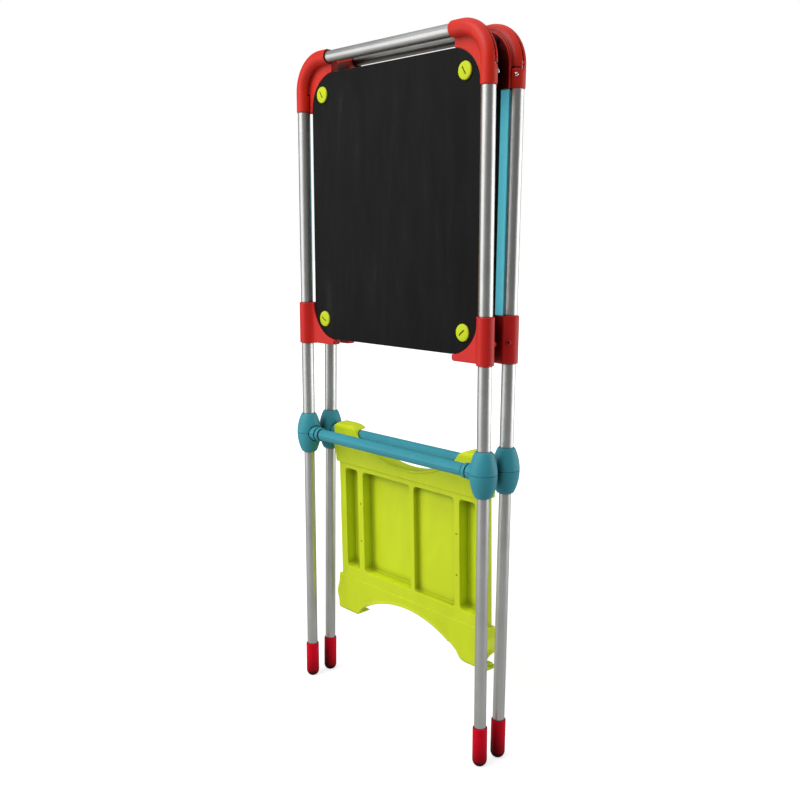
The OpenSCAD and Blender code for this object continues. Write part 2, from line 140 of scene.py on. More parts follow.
def minus(a, b, k=0.6):
    return smax(a, -b, k)


def box2(x, y, x0, x1, y0, y1, r):
    """Rounded rectangle."""
    qx = np.abs(x - (x0 + x1) / 2) - (x1 - x0) / 2 + r
    qy = np.abs(y - (y0 + y1) / 2) - (y1 - y0) / 2 + r
    return np.hypot(np.maximum(qx, 0), np.maximum(qy, 0)) + np.minimum(np.maximum(qx, qy), 0) - r


def thick(d, y, y0, y1, r):
    """An outline's field d made solid between y0 and y1, with edges of radius r."""
    a = d + r
    b = np.abs(y - (y0 + y1) / 2) - (y1 - y0) / 2 + r
    return np.hypot(np.maximum(a, 0), np.maximum(b, 0)) + np.minimum(np.maximum(a, b), 0) - r


def polygon(x, y, points):
    """Signed distance to a closed outline."""
    shape = np.broadcast(x, y).shape
    d = np.full(shape, 1e9)
    inside = np.zeros(shape, bool)
    for (x0, y0), (x1, y1) in zip(points, points[1:] + points[:1]):
        ex, ey = x1 - x0, y1 - y0
        wx, wy = x - x0, y - y0
        t = np.clip((wx * ex + wy * ey) / (ex * ex + ey * ey), 0, 1)
        d = np.minimum(d, (wx - ex * t) ** 2 + (wy - ey * t) ** 2)
        if y0 != y1:
            inside ^= ((y0 > y) != (y1 > y)) & (x < x0 + (y - y0) / (y1 - y0) * ex)
    return np.where(inside, -1, 1) * np.sqrt(d)


OFFSETS = [(i, j, k) for i in (0, 1) for j in (0, 1) for k in (0, 1)]
CELL_EDGES = [(a, b) for a in range(8) for b in range(a + 1, 8)
              if sum(p != q for p, q in zip(OFFSETS[a], OFFSETS[b])) == 1]


def skin(field, xs, ys, zs, steps=4):
    """Points and quads of a field's zero surface, on a grid that may be uneven."""
    f = np.broadcast_to(field(xs[:, None, None], ys[None, :, None], zs[None, None, :]),
                        (len(xs), len(ys), len(zs)))
    solid = f < 0
    size = [len(xs) - 1, len(ys) - 1, len(zs) - 1]
    count = np.zeros(size, np.int8)
    for i, j, k in OFFSETS:
        count += solid[i:i + size[0], j:j + size[1], k:k + size[2]]
    cells = np.argwhere((count > 0) & (count < 8))
    ids = np.full(size, -1, np.int32)
    ids[tuple(cells.T)] = np.arange(len(cells))
    axes = (xs, ys, zs)

    def corner(o):
        at = cells + np.array(o)
        return f[tuple(at.T)], np.stack([axes[n][at[:, n]] for n in range(3)], 1)

    values = [corner(o) for o in OFFSETS]
    points = np.zeros((len(cells), 3))
    hits = np.zeros(len(cells))
    for a, b in CELL_EDGES:
        (va, pa), (vb, pb) = values[a], values[b]
        m = (va < 0) != (vb < 0)
        t = np.where(m, va / np.where(m, va - vb, 1), 0)
        points += np.where(m[:, None], pa + (pb - pa) * t[:, None], 0)
        hits += m
    points /= hits[:, None]
    reach = np.stack([np.diff(axes[n])[cells[:, n]] for n in range(3)], 1) * 0.6
    start = points.copy()
    h = 0.05
    for _ in range(steps):
        v = field(*points.T)
        g = np.stack([field(*(points + e).T) - field(*(points - e).T) for e in np.eye(3) * h], 1) / (2 * h)
        points -= (v / np.maximum((g ** 2).sum(1), 0.25))[:, None] * g
        points = np.clip(points, start - reach, start + reach)
    quads = []
    for n in range(3):
        p, q = (n + 1) % 3, (n + 2) % 3
        cut = [slice(None)] * 3
        low, high = list(cut), list(cut)
        low[n], high[n] = slice(0, -1), slice(1, None)
        for other in (p, q):
            low[other] = high[other] = slice(1, -1)
        a, b = solid[tuple(low)], solid[tuple(high)]
        for outward in (True, False):
            e = np.argwhere((a & ~b) if outward else (~a & b))
            base = e.copy()
            base[:, p] += 1
            base[:, q] += 1
            ring = []
            for dp, dq in ((-1, -1), (0, -1), (0, 0), (-1, 0)):
                at = base.copy()
                at[:, p] += dp
                at[:, q] += dq
                ring.append(ids[tuple(at.T)])
            ring = np.stack(ring, 1)
            quads.append(ring if outward else ring[:, ::-1])
    return points, np.concatenate(quads)


def grid(lo, hi, step):
    n = max(2, int(math.ceil((hi - lo) / step)) + 1)
    return np.linspace(lo, hi, n)


def uneven(stops):
    """Grid lines from (position, step) stops: each step holds up to the next stop."""
    out = [stops[0][0]]
    for (a, step), (b, _) in zip(stops, stops[1:]):
        n = max(1, int(round((b - a) / step)))
        out += list(np.linspace(a, b, n + 1)[1:])
    return np.array(out)


def lathe(profile, segments=64):
    """Points and faces of a profile of (radius, height) turned about the local Z axis."""
    n = len(profile)
    ang = np.arange(segments) * 2 * math.pi / segments
    pts = np.array([[r * math.cos(a), r * math.sin(a), z] for a in ang for r, z in profile])
    faces = []
    for s in range(segments):
        t = (s + 1) % segments
        for i in range(n - 1):
            faces.append((s * n + i, t * n + i, t * n + i + 1, s * n + i + 1))
    return pts, faces


# ---------------------------------------------------------------- placing pieces

FRONT = Matrix.Translation((0, -FOOT_GAP / 2, 0)) @ Matrix.Rotation(LEAN, 4, "X")
REAR = Matrix.Rotation(math.pi, 4, "Z") @ FRONT
TRAY = Matrix.Translation((0, RAIL_Y, RAIL_TOP)) @ Matrix.Rotation(TRAY_LEAN, 4, "X")
NEAR_ENOUGH = 1.0  # mm that a piece may differ from its CAD node's box unreported


def report_box(name, points, stands_for):
    """Prints how far a piece's box is from its CAD node's, where the two differ."""
    boxes = [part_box(n) for n in stands_for]
    low = np.min([list(b[0]) for b in boxes], 0)
    high = np.max([list(b[1]) for b in boxes], 0)
    off = max(np.abs(points.min(0) - low).max(), np.abs(points.max(0) - high).max()) * 1000
    if off > NEAR_ENOUGH:
        print(f"{name} is off its CAD node's box by {off:.1f} mm")


def make(name, points, faces, matrix, body, slot_name, mats, stands_for, flip=False, mat_index=None):
    """A mesh piece that stands for CAD nodes, from points in mm in a part's own axes.

    flip mirrors it to the other side, and mat_index gives each face its number in mats."""
    points = np.array(points, float)
    if flip:
        points = points * [-1, 1, 1]
    m = np.array(matrix)
    points = (points @ m[:3, :3].T + m[:3, 3]) * 0.001
    mesh = bpy.data.meshes.new(name)
    faces = [tuple(int(i) for i in (f[::-1] if flip else f)) for f in faces]
    mesh.from_pydata(points.tolist(), [], faces)
    mesh.shade_smooth()
    mats = mats if isinstance(mats, (list, tuple)) else [mats]
    for material in mats:
        mesh.materials.append(material)
    if mat_index is not None:
        mesh.polygons.foreach_set("material_index", np.array(mat_index, np.int32))
    obj = bpy.data.objects.new(name, mesh)
    bpy.context.scene.collection.objects.link(obj)
    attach(obj, body)
    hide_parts(*stands_for)
    report_box(name, points, stands_for)
    return obj


def sharp(obj, degrees=35):
    """Smooth shading that keeps edges over this angle crisp."""
    obj.data.set_sharp_from_angle(angle=math.radians(degrees))
    return obj


# ---------------------------------------------------------------- materials


def node_material(name):
    m = bpy.data.materials.new(name)
    m.use_nodes = True
    tree = m.node_tree
    shader = tree.nodes["Principled BSDF"]
    return m, tree, shader


def link(tree, a, b):
    tree.links.new(a, b)


def texture(tree, kind, scale, stretch=(1, 1, 1), **settings):
    """A procedural texture in the piece's own space, in metres."""
    coord = tree.nodes.new("ShaderNodeTexCoord")
    mapping = tree.nodes.new("ShaderNodeMapping")
    mapping.inputs["Scale"].default_value = stretch
    tex = tree.nodes.new(kind)
    tex.inputs["Scale"].default_value = scale
    for key, value in settings.items():
        tex.inputs[key].default_value = value
    link(tree, coord.outputs["Object"], mapping.inputs["Vector"])
    link(tree, mapping.outputs["Vector"], tex.inputs["Vector"])
    return tex


def ramp(tree, source, stops):
    r = tree.nodes.new("ShaderNodeValToRGB")
    elements = r.color_ramp.elements
    while len(elements) < len(stops):
        elements.new(0.5)
    for e, (at, colour) in zip(elements, stops):
        e.position = at
        e.color = (*colour, 1)
    link(tree, source, r.inputs["Fac"])
    return r


def value_range(tree, source, low, high, start=0.0, stop=1.0):
    """Maps a source that runs from start to stop onto low to high."""
    m = tree.nodes.new("ShaderNodeMapRange")
    for key, value in (("From Min", start), ("From Max", stop), ("To Min", low), ("To Max", high)):
        m.inputs[key].default_value = value
    link(tree, source, m.inputs["Value"])
    return m.outputs["Result"]


def bump(tree, shader, heights):
    """Stacks bump maps given as (texture output, strength, distance)."""
    last = None
    for source, strength, distance in heights:
        b = tree.nodes.new("ShaderNodeBump")
        b.inputs["Strength"].default_value = strength
        b.inputs["Distance"].default_value = distance
        link(tree, source, b.inputs["Height"])
        if last:
            link(tree, last, b.inputs["Normal"])
        last = b.outputs["Normal"]
    link(tree, last, shader.inputs["Normal"])


def shade(colour, k):
    return tuple(min(1.0, c * k) for c in colour)


def paint_gap_shade(tree, s, colour, near, low, high, dark):
    """Painted shade: darkens the colour in gaps narrower than near metres, from any side it is seen.

    The openness of the surroundings, low to high, becomes dark to 1 times the colour."""
    gap = tree.nodes.new("ShaderNodeAmbientOcclusion")
    gap.samples = 8
    gap.inputs["Distance"].default_value = near
    brightness = value_range(tree, gap.outputs["AO"], dark, 1.0, low, high)
    scaled = tree.nodes.new("ShaderNodeVectorMath")
    scaled.operation = "SCALE"
    link(tree, colour, scaled.inputs[0])
    link(tree, brightness, scaled.inputs["Scale"])
    link(tree, scaled.outputs["Vector"], s.inputs["Base Color"])


def plastic(name, colour, rough, gaps=(0.07, 0.38, 0.86, 0.03)):
    """Moulded plastic: faint flow marks in the colour, a fine satin grain and uneven gloss, with shade
    painted into its gaps.
    """
    m, tree, s = node_material(name)
    flow = texture(tree, "ShaderNodeTexNoise", 14, (1, 1, 0.45),
                   Detail=3.0, Roughness=0.55, Distortion=0.6)
    tint = ramp(tree, flow.outputs["Fac"], [(0.3, shade(colour, 0.93)), (0.7, shade(colour, 1.05))])
    paint_gap_shade(tree, s, tint.outputs["Color"], *gaps)
    fine = texture(tree, "ShaderNodeTexNoise", 1500, Detail=2.0)
    soft = texture(tree, "ShaderNodeTexNoise", 60, Detail=2.0)
    link(tree, value_range(tree, soft.outputs["Fac"], rough - 0.05, rough + 0.07), s.inputs["Roughness"])
    bump(tree, s, [(soft.outputs["Fac"], 0.06, 0.001), (fine.outputs["Fac"], 0.35, 0.00004)])
    s.inputs["IOR"].default_value = 1.48
    s.inputs["Specular IOR Level"].default_value = 0.3
    return m


def tube_metal(name, along, colour=(0.66, 0.665, 0.65), rough=0.37, gaps=(0.004, 0.55, 0.88, 0.02)):
    """Satin plated tube with fine draw lines along its length, with shade painted into its grooves and
    gaps.
    """
    m, tree, s = node_material(name)
    stretch = [1.0, 1.0, 1.0]
    stretch["XYZ".index(along)] = 0.012
    lines = texture(tree, "ShaderNodeTexNoise", 900, tuple(stretch), Detail=3.0)
    cloud = texture(tree, "ShaderNodeTexNoise", 18, Detail=4.0, Roughness=0.6)
    tint = ramp(tree, cloud.outputs["Fac"], [(0.3, shade(colour, 0.93)), (0.7, shade(colour, 1.05))])
    paint_gap_shade(tree, s, tint.outputs["Color"], *gaps)
    link(tree, value_range(tree, lines.outputs["Fac"], rough - 0.07, rough + 0.09), s.inputs["Roughness"])
    bump(tree, s, [(lines.outputs["Fac"], 0.25, 0.00004)])
    s.inputs["Metallic"].default_value = 1.0
    return m


def chalk_paint(name):
    """Black chalkboard paint with wiped chalk haze and fine tooth."""
    m, tree, s = node_material(name)
    haze = texture(tree, "ShaderNodeTexNoise", 7, (1, 1, 0.6),
                   Detail=6.0, Roughness=0.62, Distortion=1.4)
    wipes = texture(tree, "ShaderNodeTexNoise", 40, (1.0, 1.0, 0.18),
                    Detail=4.0, Roughness=0.6, Distortion=0.8)
    both = tree.nodes.new("ShaderNodeMath")
    both.operation = "MULTIPLY"
    link(tree, haze.outputs["Fac"], both.inputs[0])
    link(tree, wipes.outputs["Fac"], both.inputs[1])
    tint = ramp(tree, both.outputs["Value"], [
        (0.16, (0.0085, 0.0085, 0.0085)), (0.34, (0.0125, 0.0125, 0.0127)), (0.5, (0.023, 0.023, 0.024)),
    ])
    link(tree, tint.outputs["Color"], s.inputs["Base Color"])
    tooth = texture(tree, "ShaderNodeTexNoise", 1800, Detail=2.0)
    link(tree, value_range(tree, haze.outputs["Fac"], 0.62, 0.82), s.inputs["Roughness"])
    bump(tree, s, [(tooth.outputs["Fac"], 0.5, 0.00006)])
    s.inputs["Specular IOR Level"].default_value = 0.1
    return m


def fibreboard(name, colour=(0.56, 0.37, 0.19)):
    """Cut edge of the board: pressed fibres in layers."""
    m, tree, s = node_material(name)
    layers = texture(tree, "ShaderNodeTexNoise", 900, (0.15, 1.0, 0.15), Detail=4.0)
    tint = ramp(tree, layers.outputs["Fac"], [(0.3, shade(colour, 0.75)), (0.7, shade(colour, 1.15))])
    link(tree, tint.outputs["Color"], s.inputs["Base Color"])
    s.inputs["Roughness"].default_value = 0.85
    bump(tree, s, [(layers.outputs["Fac"], 0.5, 0.0001)])
    return m


def lacquer(name, colour, rough):
    """Smooth coated board face with a faint roller texture."""
    m, tree, s = node_material(name)
    cloud = texture(tree, "ShaderNodeTexNoise", 9, Detail=3.0)
    tint = ramp(tree, cloud.outputs["Fac"], [(0.3, shade(colour, 0.96)), (0.7, shade(colour, 1.03))])
    link(tree, tint.outputs["Color"], s.inputs["Base Color"])
    roll = texture(tree, "ShaderNodeTexNoise", 420, Detail=2.0)
    link(tree, value_range(tree, roll.outputs["Fac"], rough - 0.04, rough + 0.06), s.inputs["Roughness"])
    bump(tree, s, [(roll.outputs["Fac"], 0.12, 0.00005)])
    return m


def cast_metal(name, colour, rough):
    """Plain steel of the screws and hinge parts, with a fine grain and uneven gloss."""
    m, tree, s = node_material(name)
    grain = texture(tree, "ShaderNodeTexNoise", 1200, Detail=3.0)
    cloud = texture(tree, "ShaderNodeTexNoise", 120, Detail=3.0)
    tint = ramp(tree, cloud.outputs["Fac"], [(0.3, shade(colour, 0.85)), (0.7, shade(colour, 1.1))])
    link(tree, tint.outputs["Color"], s.inputs["Base Color"])
    link(tree, value_range(tree, grain.outputs["Fac"], rough - 0.06, rough + 0.1), s.inputs["Roughness"])
    bump(tree, s, [(grain.outputs["Fac"], 0.3, 0.00005)])
    s.inputs["Metallic"].default_value = 1.0
    return m


def set_shader(material, name, value):
    material.node_tree.nodes["Principled BSDF"].inputs[name].default_value = value


# gap settings are (near, low, high, dark) of the shade painted into each material's gaps and creases, as in
# the function above
CORNER_RED = (0.70, 0.024, 0.011)
RED = plastic("red_corner_plastic", CORNER_RED, 0.40, gaps=(0.03, 0.1, 0.55, 0.05))
# The corners' back mouldings face the other frame: their strong gap settings paint deep shade on them,
# deepest on the rear frame.
RED_BACK_SHADED = {
    "front": plastic("red_corner_back_plastic", CORNER_RED, 0.40, gaps=(0.12, 0.24, 0.7, 0.02)),
    "rear": plastic("red_rear_corner_back_plastic", CORNER_RED, 0.40, gaps=(0.12, 0.36, 0.9, 0.02)),
}
RED_LOW = plastic("red_bracket_plastic", (0.69, 0.018, 0.013), 0.40, gaps=(0.07, 0.24, 0.7, 0.02))
CRIMSON = plastic("crimson_foot_plastic", (0.74, 0.0002, 0.016), 0.46)
set_shader(CRIMSON, "Specular IOR Level", 0.12)
TEAL = plastic("teal_plastic", (0.046, 0.33, 0.41), 0.42, gaps=(0.02, 0.3, 0.8, 0.05))
LIME = plastic("lime_tray_plastic", (0.69, 0.82, 0.015), 0.45, gaps=(0.02, 0.3, 0.9, 0.35))
LIME_KNOB = plastic("lime_knob_plastic", (0.62, 0.74, 0.005), 0.42, gaps=(0.006, 0.3, 0.8, 0.05))
TUBE_Z = tube_metal("silver_tube_upright", "Z")
# The rails' wider gap setting paints shade on the rear rail where it lies under the front one.
TUBE_X = tube_metal("silver_tube_rail", "X", gaps=(0.07, 0.55, 0.97, 0.10))
CHALK = chalk_paint("chalkboard_paint")
EDGE = fibreboard("board_cut_edge")
# Near-black backs of the boards: painted shade, for the deep shade between the folded boards.
INNER_SHADE = lacquer("inner_face_painted_shade", (0.010, 0.010, 0.011), 0.6)
# Pale blue trim strip; its emission is a painted glow that brightens it where it sits in shade between the
# boards.
GLOWING_STRIP = lacquer("pale_blue_strip_painted_glow", (0.20, 0.86, 0.96), 0.4)
set_shader(GLOWING_STRIP, "Emission Color", (0.035, 0.19, 0.25, 1))
set_shader(GLOWING_STRIP, "Emission Strength", 1.0)
WHITE = lacquer("white_drawing_face", (0.84, 0.86, 0.86), 0.22)
SCREW = cast_metal("bright_screw_steel", (0.86, 0.86, 0.86), 0.22)
DARK_SCREW = cast_metal("dark_screw_steel", (0.05, 0.05, 0.05), 0.4)
# Nearly black: painted shade for the dark between the corners, where the hinges are guessed to sit.
HINGE_SHADE = cast_metal("hinge_steel_painted_shade", (0.035, 0.035, 0.038), 0.5)

# ---------------------------------------------------------------- red corner fittings


def centre_line(x, z):
    """Signed distance from the corner's centre line, in the plane of the frame: outside is positive."""
    arc = np.hypot(x - (LEG_X - BEND_R), z - BEND_Z) - BEND_R
    return np.where(z < BEND_Z, x - LEG_X, np.where(x < LEG_X - BEND_R, z - TOP_RAIL_Z, arc))


def board_field(x, z, grow):
    half = BOARD_W / 2 + grow
    return box2(x, z, -half, half, BOARD_Z - grow, BOARD_TOP + grow, BOARD_R + grow)


def shaft(x, y, z, at_z, r, r0, r1):
    """A small round shaft pointing outwards from the leg, from radius r0 to r1."""
    ux, uy = math.cos(SCREW_TURN), math.sin(SCREW_TURN)
    along = (x - LEG_X) * ux + y * uy
    side = (x - LEG_X) * -uy + y * ux
    return thick(np.hypot(side, z - at_z) - r, along, r0, r1, 0.4)


def elbow(x, y, z):
    """The corner's two sleeves and the bend between them, solid."""
    tube = np.hypot(centre_line(x, z), y) - SLEEVE_R
    end = np.maximum(SLEEVE_Z - z, SLEEVE_X - x)
    return smax(tube, end, SLEEVE_ROUND)


def bore(x, y, z):
    bend = (z > BEND_Z + 6) & (x > LEG_X - BEND_R + 1)
    return np.hypot(centre_line(x, z), y) - np.where(bend, BORE_R - BEND_WALL, BORE_R)


def shell_field(x, y, z):
    outer = elbow(x, y, z)
    taken = smax(-0.3 - y, STEP_Z - z, 0.8)
    body = minus(minus(outer, bore(x, y, z), 0.8), taken, 0.9)
    return minus(body, shaft(x, y, z, CORNER_SCREW_Z, *CORNER_HOLE), 0.4)


def web_field(x, z):
    inner = smax(centre_line(x, z), SLEEVE_X - x, 2.0)
    inner = smax(inner, SLEEVE_Z - z, 2.0)
    return smax(inner, -board_field(x, z, BOARD_GAP), 0.8)


def plate_field(x, z, up):
    """Quarter ring behind a board corner; up is 1 at the top and -1 at the bottom."""
    cz = BOARD_TOP - BOARD_R if up > 0 else BOARD_Z + BOARD_R
    r = np.hypot(x - ARC_X, z - cz)
    ring = smax(r - BOARD_R - PLATE_OUT, PLATE_IN - r, 1.5)
    return smax(ring, np.maximum(ARC_X + 3 - x, up * (cz - z) + 3), 1.5)


def knob_z(up):
    return (BOARD_TOP - BOARD_R + KNOB_UP) if up > 0 else (BOARD_Z + BOARD_R - KNOB_UP)


def knob_boss(x, y, z, up):
    """The boss that a knob screws into, and the distance from the knob's axis."""
    r = np.hypot(x - KNOB_X, z - knob_z(up))
    return thick(r - KNOB_BOSS_R, y, BOARD_BACK, BOARD_BACK + KNOB_BOSS_LONG, 0.8), r


def back_field(x, y, z):
    outer = elbow(x, y, z)
    start = np.where(centre_line(x, z) > -3, GROOVE + 0.3, 0.0)
    half = smax(outer, start - y, 0.9)
    web = thick(web_field(x, z), y, WEB_Y, WEB_BACK, 0.9)
    body = smin(half, web, 1.2)
    body = smin(body, thick(plate_field(x, z, 1), y, BOARD_BACK, PLATE_BACK, 0.8), 1.0)
    boss, r = knob_boss(x, y, z, 1)
    body = smin(body, boss, 1.5)
    body = minus(body, bore(x, y, z), 0.6)
    sleeve = np.maximum(np.hypot(x - LEG_X, y) - SLEEVE_R - 0.15, z - STEP_Z - GROOVE)
    body = minus(body, sleeve, 0.6)
    return minus(body, r - KNOB_HOLE_R, 0.4)


def bracket_web(x, z):
    d = box2(x, z, SLEEVE_X, LEG_X + 40, BRACKET_LOW + 0.6, BRACKET_HIGH, 5.0)
    d = smax(d, x - LEG_X, 1.0)
    return smax(d, -board_field(x, z, BOARD_GAP), 1.0)


def bracket_field(x, y, z):
    sleeve = thick(np.hypot(x - LEG_X, y) - BRACKET_R, z, BRACKET_LOW, BRACKET_HIGH, 1.1)
    arm = thick(bracket_web(x, z), y, WEB_Y - 2, WEB_BACK, 1.6)
    body = smax(smin(sleeve, arm, 12.0), y - WEB_BACK, 1.6)
    off_middle = np.abs(z - (BRACKET_LOW + BRACKET_HIGH) / 2)
    body = np.maximum(body, off_middle - (BRACKET_HIGH - BRACKET_LOW) / 2)
    body = np.maximum(body, -np.where(y < BOARD_BACK, board_field(x, z, BOARD_GAP), 1e3))
    body = smin(body, thick(plate_field(x, z, -1), y, BOARD_BACK, PLATE_BACK, 0.8), 1.0)
    boss, r = knob_boss(x, y, z, -1)
    body = smin(body, boss, 1.5)
    body = smin(body, shaft(x, y, z, BRACKET_SCREW_Z, *BRACKET_BOSS), 0.8)
    body = minus(body, np.hypot(x - LEG_X, y) - BORE_R, 0.6)
    body = minus(body, r - KNOB_HOLE_R, 0.4)
    return minus(body, shaft(x, y, z, BRACKET_SCREW_Z, *BRACKET_HOLE), 0.3)


CORNER_GRID = (grid(146, 242, 1.15), grid(-15.5, 21, 1.0), grid(1058, 1167, 1.15))
BRACKET_GRID = (grid(147, 242, 1.15), grid(-15.5, 21, 1.0), grid(650, 732, 1.15))

# ---------------------------------------------------------------- teal barrels


def barrel_field(x, y, z, half):
    """One half of a barrel: the upper for half = 1, the lower for -1."""
    r = np.hypot(x - LEG_X, y)
    lens = np.hypot(r - (BARREL_R - BARREL_ARC), z - CROSS_Z) - BARREL_ARC
    body = smax(lens, np.abs(z - CROSS_Z) - BARREL_H / 2, 3.0)
    off_rail = np.hypot(y, z - CROSS_Z)
    body = minus(body, np.maximum(off_rail - BOSS_R - 0.9, x - 209.5), 0.8)
    boss = thick(off_rail - BOSS_R, x, BOSS_X, LEG_X, 1.0)
    body = np.minimum(body, boss)
    body = smax(body, SEAM - half * (z - CROSS_Z), 0.4)
    tube = (UPPER_R if half > 0 else LOWER_R) + FIT
    body = minus(body, np.maximum(r - tube, 2 - half * (z - CROSS_Z)), 0.6)
    core = np.maximum(off_rail - CORE_R - FIT, x - 205.5)
    return minus(body, core, 0.6)


BARREL_XY = (grid(193, 249.5, 1.1), grid(-24.5, 24.5, 1.1))

# ---------------------------------------------------------------- feet and knobs


def foot_profile():
    """(radius, height) round a foot cap: its flattened ball end, its side, and its socket."""
    c = FOOT_R - FOOT_CUT
    start = math.acos(c / FOOT_R)
    flat = FOOT_R * math.sin(start)
    pts = [(0.01, 0.0), (flat * 0.6, 0.0)]
    for i in range(15):
        a = start + (math.pi / 2 - start) * i / 14
        pts.append((FOOT_R * math.sin(a), c - FOOT_R * math.cos(a)))
    for z in (20, 30, 40, 50, 58):
        pts.append((FOOT_R, z))
    pts += [(FOOT_R, FOOT_H - 1.6), (FOOT_R - 0.15, FOOT_H - 0.8), (FOOT_R - 0.5, FOOT_H - 0.25),
            (FOOT_R - 1.0, FOOT_H), (LOWER_R + 0.6, FOOT_H), (LOWER_R + 0.1, FOOT_H - 0.5),
            (LOWER_R + FIT, FOOT_H - 3), (LOWER_R + FIT, FOOT_R + 2.2), (LOWER_R - 0.4, FOOT_R + 1.9),
            (0.01, FOOT_R + 1.9)]
    return pts


def knob_field(turn):
    c, s = math.cos(math.radians(turn)), math.sin(math.radians(turn))

    def field(x, y, z):
        """The knob's face looks along +Z here, and it sits on the board at Z = 0."""
        r = np.hypot(x, y)
        head = smax(r - KNOB_R, -z, 0.5)
        dome = np.sqrt(r ** 2 + (z - (KNOB_T - KNOB_DOME)) ** 2) - KNOB_DOME
        head = smax(head, dome, 1.7)
        shank = thick(r - 3, z, -13.6, 1.0, 0.5)
        u, v = x * c + y * s, -x * s + y * c
        slot = box2(u, v, -SLOT_HALF, SLOT_HALF, -SLOT_WIDE, SLOT_WIDE, 0.9)
        slot = thick(slot, z, KNOB_T - SLOT_DEEP, KNOB_T + 2, 0.4)
        return minus(smin(head, shank, 0.4), slot, 0.35)

    return field


# ---------------------------------------------------------------- tray


def arch_half(r):
    """One half of an arch: its wide curve, then the smaller one that swings up to the hook."""
    pts = []
    for a in range(0, 34, 3):
        t = math.radians(a)
        pts.append((r * math.sin(t), ARCH_R - ARCH_U - r * math.cos(t)))
    pts.append((pts[-1][0] + 4.5, pts[-1][1] + 5.4))
    for a in range(42, -1, -6):
        t = math.radians(a)
        pts.append((HOOK_IN - SWING_R * math.sin(t), 20 - SWING_R * (1 - math.cos(t))))
    return pts


def arch_outline(r):
    half = arch_half(r)
    return half + [(HOOK_IN, 30), (-HOOK_IN, 30)] + [(-x, z) for x, z in reversed(half) if x > 0]


END_EDGE = [(TRAY_HALF + 7, -END_U), (192.5, -37), (198, -22), (199, -15.5), (197, -7), (194.5, 1),
            (194.5, 13), (191, 18.5), (186, 21.2)]
END_PANEL = END_EDGE + [(-x, z) for x, z in reversed(END_EDGE)]
HOOK = [(-15.2, -14), (-15.2, 11), (-14.6, 14), (-12.6, 16.5), (-10, 17.8), (7, 21), (10.5, 20),
        (12.9, 17.5), (13.5, 14.5), (13, 11.6), (3, 11), (0, 11), (0, -14)]
POCKETS = [(-166, -131, 20.5), (-116, 12, 20.5), (22, 121, 11.0), (134, 171, 20.5)]  # left, right, depth


def fold_up(w):
    """Height from the nearer hook's centre line, so one end's shape serves both."""
    return np.where(w > -PITCH / 2, w, -PITCH - w)


def pocket(x, v, w, sides, grow):
    draft = POCKET_DRAFT * (v - FIELD)
    left, right = sides
    outline = box2(x, w, left - grow, right + grow, POCKET_LOW - grow, POCKET_TOP + grow, 7 + grow)
    return outline + draft


def tray_field(x, v, w):
    u = fold_up(w)
    arch = polygon(x, u, arch_outline(ARCH_R))
    end = polygon(x, u, END_PANEL)
    middle = np.maximum(np.abs(x) - TRAY_HALF, u + END_U - 1)
    outline = smax(smin(end, middle, 1.2), -arch, 1.5)
    hook = np.maximum(polygon(v, u, HOOK), HOOK_BORE - np.hypot(v, u))
    slab = np.maximum(np.abs(v - (FACE + REAR_FACE) / 2) - (REAR_FACE - FACE) / 2, u + 13.4)
    section = np.minimum(hook, slab)
    section = smax(section, -smax(v - FIELD, u + END_U, 0.5), 0.9)
    body = smax(outline, section, 1.5)
    # the back is open between the pockets' tubs
    top_room = np.maximum(np.abs(x) - TRAY_HALF, FACE + WALL - v)
    top_room = np.maximum(top_room, np.maximum(u + 16, 2.5 - END_U - u))
    top_room = np.maximum(top_room, ARCH_R + WALL - np.hypot(x, u - ARCH_R + ARCH_U))
    room = np.maximum(np.abs(x) - TRAY_HALF + WALL, FIELD + WALL - v)
    room = np.maximum(room, u + END_U + 2)
    for *sides, depth in POCKETS:
        tub = pocket(x, v, w, sides, POCKET_WALL)
        tub = thick(tub, v, FIELD - 9, FIELD + depth + POCKET_WALL, POCKET_WALL)
        room = smax(room, -tub, 1.2)
    body = minus(body, smin(top_room, room, 0.4), 0.8)
    # room for the cross rail's collars
    relief = np.minimum(np.hypot(v, u), np.maximum(np.abs(u), COLLAR_ROOM_R - v)) - COLLAR_ROOM_R
    relief = np.maximum(relief, COLLAR_ROOM_X - np.abs(x))
    body = minus(body, relief, 0.8)
    for *sides, depth in POCKETS:
        hole = thick(pocket(x, v, w, sides, 0), v, FIELD - 20, FIELD + depth, 1.2)
        body = minus(body, hole, 0.9)
    for at_x, at_w in DIMPLES:
        dimple = np.maximum(np.hypot(x - at_x, w - at_w) - 1.6, v - FIELD - 1.7)
        body = minus(body, dimple, 0.5)
    lip = smax(polygon(x, u, arch_outline(ARCH_R + LIP)), -arch, 0.6)
    lip = np.maximum(lip, np.maximum(np.abs(x) - 108, np.maximum(-60 - u, u - 10)))
    lip = thick(lip, v, FACE - 1.4, FACE + 1, 0.7)
    return smin(body, lip, 0.8)


TRAY_GRID = (uneven([(-202, 1.2), (-104, 2.4), (0, 1.2), (34, 2.4), (109, 1.2), (202, 1.2)]),
             grid(-18.4, 15.6, 0.95),
             uneven([(-PITCH - 24, 1.2), (-243, 5.0), (-202, 1.0), (-194, 5.0), (-130, 1.0), (-122, 5.0),
                     (-76, 1.2), (24, 1.2)]))

# ---------------------------------------------------------------- building the pieces

SHELL = skin(shell_field, *CORNER_GRID)
BACK = skin(back_field, *CORNER_GRID)
BRACKET = skin(bracket_field, *BRACKET_GRID)
UPPER = skin(lambda x, y, z: barrel_field(x, y, z, 1),
             *BARREL_XY, grid(CROSS_Z - 1.5, CROSS_Z + 39, 1.0))
LOWER = skin(lambda x, y, z: barrel_field(x, y, z, -1),
             *BARREL_XY, grid(CROSS_Z - 39, CROSS_Z + 1.5, 1.0))
FOOT = lathe(foot_profile(), 56)
FOOT = (FOOT[0] + [LEG_X, 0, 0], FOOT[1])


